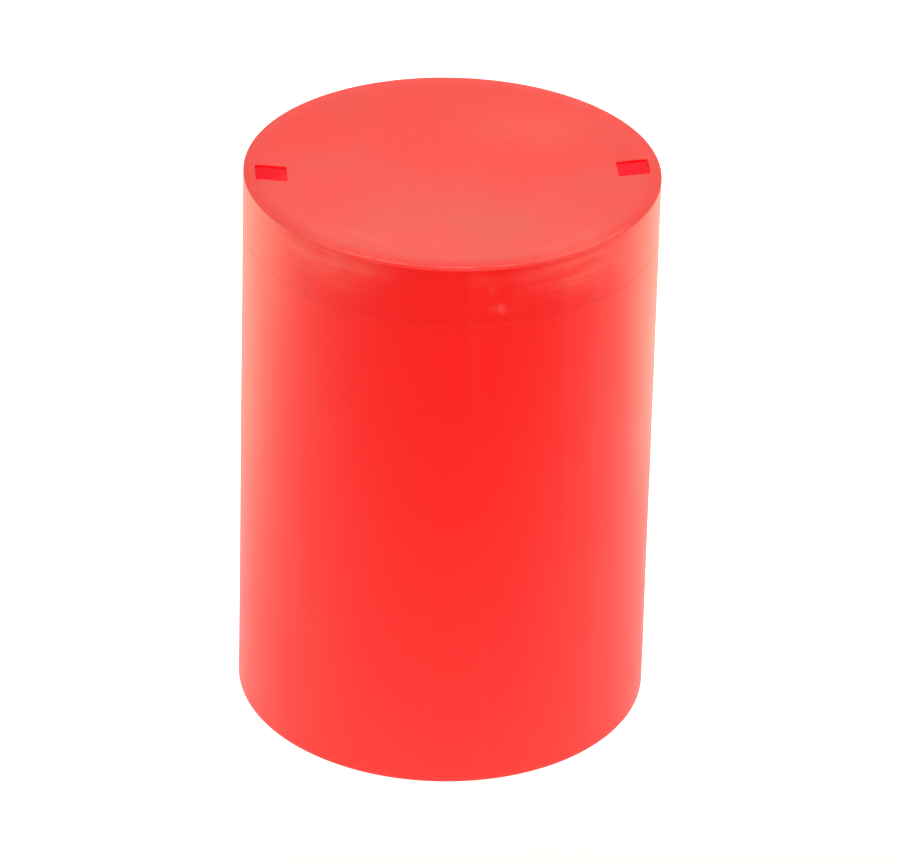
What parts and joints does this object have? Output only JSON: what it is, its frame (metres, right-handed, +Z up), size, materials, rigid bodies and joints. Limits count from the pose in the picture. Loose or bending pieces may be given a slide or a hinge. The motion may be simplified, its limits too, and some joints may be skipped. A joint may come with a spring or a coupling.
{
  "type": "water filled barrier",
  "caption": "Drum-shaped water filled road barrier with a dished head, two square ports near its rim and a screw drain plug low at the back.",
  "frame": {"origin": "on the ground plane, on the drum's axis", "axes": "+Z up along the drum's axis; the two square ports lie on the X axis; the drain fitting faces +Y, so the plain side seen from the front faces -Y"},
  "size_m": [0.51, 0.51, 0.71],
  "materials": {
    "red_plastic": "bright red polyethylene as it comes from the mould, semi-gloss, slightly translucent, with fine draw streaks",
    "dark_red_plastic": "darker red moulded polyethylene, satin",
    "black_plastic": "black moulded polypropylene, satin",
    "black_rubber": "black sealing rubber, matt"
  },
  "bodies": {
    "drum": {"barrel_wall": "red_plastic", "top_head": "red_plastic", "base_plate": "red_plastic", "drain_bushing": "black_plastic", "bushing_gasket": "black_rubber", "bushing_locknut": "black_plastic"},
    "plug_seal": {"plug_seal": "black_rubber"},
    "drain_plug": {"drain_plug": "dark_red_plastic"}
  },
  "joints": [
    {"name": "drain_plug_travel", "type": "slide", "parent": "drum", "child": "plug_seal", "axis": [0, 1, 0], "range_m": [0, 0.0201]},
    {"name": "drain_plug_turn", "type": "hinge", "parent": "plug_seal", "child": "drain_plug", "pos_m": [0, 0.22, 0.075], "axis": [0, 1, 0], "range_deg": [0, 1800]}
  ],
  "couplings": [
    {"joint": "drain_plug_travel", "follows": "drain_plug_turn", "m_per_rad": 0.00063662}
  ]
}
